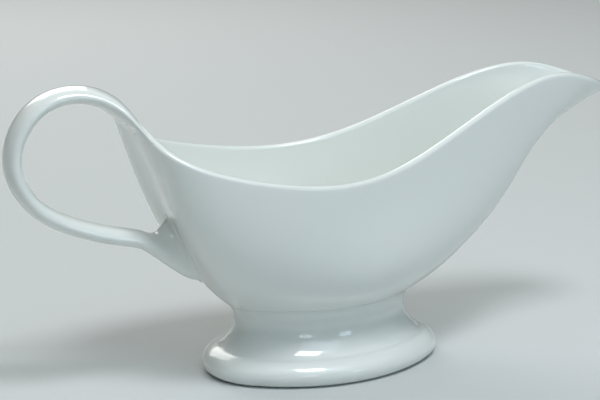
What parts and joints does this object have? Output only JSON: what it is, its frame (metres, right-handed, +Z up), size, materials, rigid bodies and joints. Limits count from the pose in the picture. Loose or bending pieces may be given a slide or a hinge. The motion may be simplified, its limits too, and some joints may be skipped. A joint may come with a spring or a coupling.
{
  "type": "gravy boat",
  "caption": "White glazed porcelain gravy boat: swooping oval bowl drawn out into a pouring spout, loop handle at the back, hollow oval pedestal foot.",
  "frame": {"origin": "middle of the oval foot ring, on the surface the gravy boat stands on", "axes": "+X towards the spout along the length, +Y across the width, +Z up"},
  "size_m": [0.2329, 0.0718, 0.109],
  "materials": {
    "glazed_porcelain": "smooth clear glaze over white porcelain"
  },
  "bodies": {
    "root": {"bowl": "glazed_porcelain", "pedestal": "glazed_porcelain", "handle": "glazed_porcelain"}
  },
  "joints": []
}
